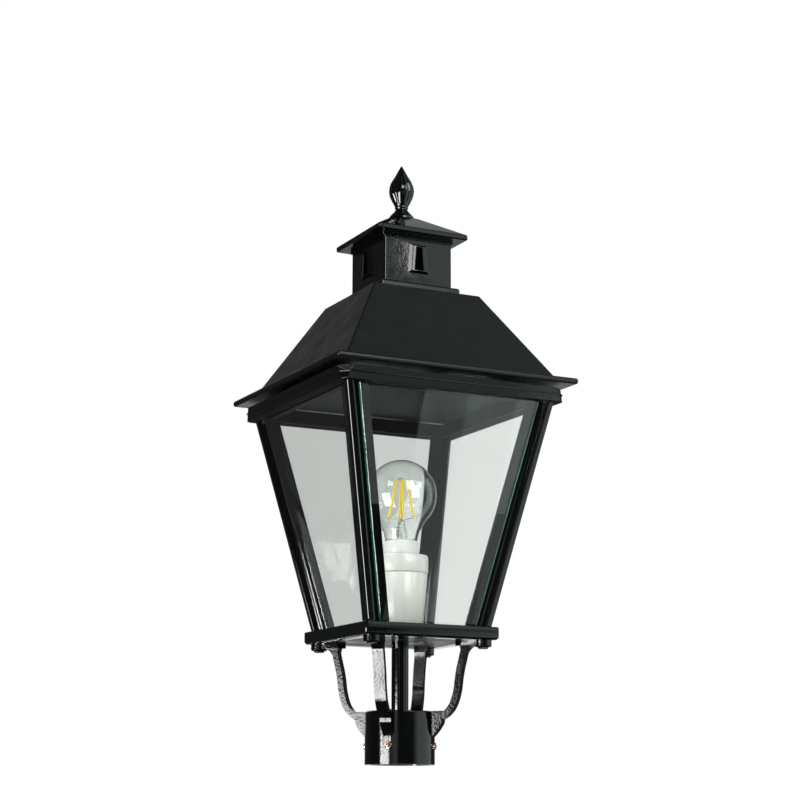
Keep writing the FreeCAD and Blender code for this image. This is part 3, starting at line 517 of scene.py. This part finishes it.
def makeStudio(values):
    mesh = bpy.data.meshes.new("floor")
    form = bmesh.new()
    bmesh.ops.create_grid(form, x_segments=1, y_segments=1, size=values["floorHalf"])
    form.to_mesh(mesh)
    form.free()
    floor = bpy.data.objects.new("floor", mesh)
    scene.collection.objects.link(floor)
    floor.location.z = -values["floorDrop"]
    material, tree = newMaterial("studioFloor")
    # seen from above only, and not by mirrored rays
    path = addNode(tree, "ShaderNodeLightPath").outputs
    pale = addNode(tree, "ShaderNodeBsdfDiffuse", {"Color": toLinear(values["floorColour"])})
    clear = addNode(tree, "ShaderNodeBsdfTransparent")
    behind = addNode(tree, "ShaderNodeNewGeometry").outputs["Backfacing"]
    byKind = addNode(tree, "ShaderNodeMath", {0: path["Is Glossy Ray"], 1: path["Is Shadow Ray"]},
                     operation="MAXIMUM")
    passing = addNode(tree, "ShaderNodeMath", {0: byKind.outputs[0], 1: behind}, operation="MAXIMUM")
    both = addNode(tree, "ShaderNodeMixShader", {0: passing.outputs[0], 1: pale.outputs[0],
                                                 2: clear.outputs[0]})
    addNode(tree, "ShaderNodeOutputMaterial", {"Surface": both.outputs[0]})
    mesh.materials.append(material)

    world = bpy.data.worlds.new("studioWorld")
    scene.world = world
    world.use_nodes = True
    tree = world.node_tree
    tree.nodes.clear()
    # a ray through glass counts as glossy too, so the depths tell mirrored rays from those let through
    path = addNode(tree, "ShaderNodeLightPath").outputs
    mirrored = addNode(tree, "ShaderNodeMath", {0: path["Glossy Depth"], 1: 0.5}, operation="GREATER_THAN")
    scattered = addNode(tree, "ShaderNodeMath", {0: path["Diffuse Depth"], 1: 0.5}, operation="GREATER_THAN")
    seen = addNode(tree, "ShaderNodeMapRange", {"Value": mirrored.outputs[0], "To Min": 1.0,
                                               "To Max": values["skyGloss"]})
    level = addNode(tree, "ShaderNodeMapRange", {"Value": scattered.outputs[0],
                                                "To Min": seen.outputs["Result"],
                                                "To Max": values["skyDiffuse"]})
    back = addNode(tree, "ShaderNodeBackground", {"Color": (1, 1, 1, 1), "Strength": level.outputs["Result"]})
    addNode(tree, "ShaderNodeOutputWorld", {"Surface": back.outputs[0]})


def addCard(name, azimuths, elevations, level, tint):
    form = bmesh.new()
    steps = max(1, round((azimuths[1] - azimuths[0]) / 6))
    bmesh.ops.create_grid(form, x_segments=steps, y_segments=3, size=0.5)
    for v in form.verts:
        azimuth = azimuths[0] + (v.co.x + 0.5) * (azimuths[1] - azimuths[0])
        elevation = elevations[0] + (v.co.y + 0.5) * (elevations[1] - elevations[0])
        v.co = towards(azimuth, elevation) * studio["cardReach"] + Vector((0, 0, studio["cardCentre"]))
    mesh = bpy.data.meshes.new(name)
    form.to_mesh(mesh)
    form.free()
    card = bpy.data.objects.new(name, mesh)
    scene.collection.objects.link(card)
    material, tree = newMaterial(name + "Light")
    path = addNode(tree, "ShaderNodeLightPath").outputs
    mirrored = addNode(tree, "ShaderNodeMath", {0: path["Glossy Depth"], 1: 0.5}, operation="GREATER_THAN")
    plain = addNode(tree, "ShaderNodeMath", {0: path["Diffuse Depth"], 1: 0.5}, operation="LESS_THAN")
    shown = addNode(tree, "ShaderNodeMath", {0: mirrored.outputs[0], 1: plain.outputs[0]},
                    operation="MULTIPLY")
    glow = addNode(tree, "ShaderNodeEmission", {"Color": (*tint, 1), "Strength": level})
    clear = addNode(tree, "ShaderNodeBsdfTransparent")
    both = addNode(tree, "ShaderNodeMixShader", {0: shown.outputs[0], 1: clear.outputs[0],
                                                 2: glow.outputs[0]})
    addNode(tree, "ShaderNodeOutputMaterial", {"Surface": both.outputs[0]})
    mesh.materials.append(material)
    card.visible_camera = False
    card.visible_diffuse = False
    card.visible_shadow = False


def addLamp(name, azimuth, elevation, distance, size, power):
    data = bpy.data.lights.new(name, "AREA")
    data.shape = "SQUARE"
    data.size = size
    data.energy = power
    lamp = bpy.data.objects.new(name, data)
    scene.collection.objects.link(lamp)
    out = towards(azimuth, elevation)
    lamp.location = out * distance + Vector((0, 0, studio["lampCentre"]))
    lamp.rotation_mode = "QUATERNION"
    lamp.rotation_quaternion = (-out).to_track_quat("-Z", "Y")
    lamp.visible_glossy = False


makeStudio(studio)
for cardName, values in cards.items():
    addCard(cardName, *values)
for lampName, values in lamps.items():
    addLamp(lampName, *values)
print("studio lit")

scene.view_settings.view_transform = "Standard"
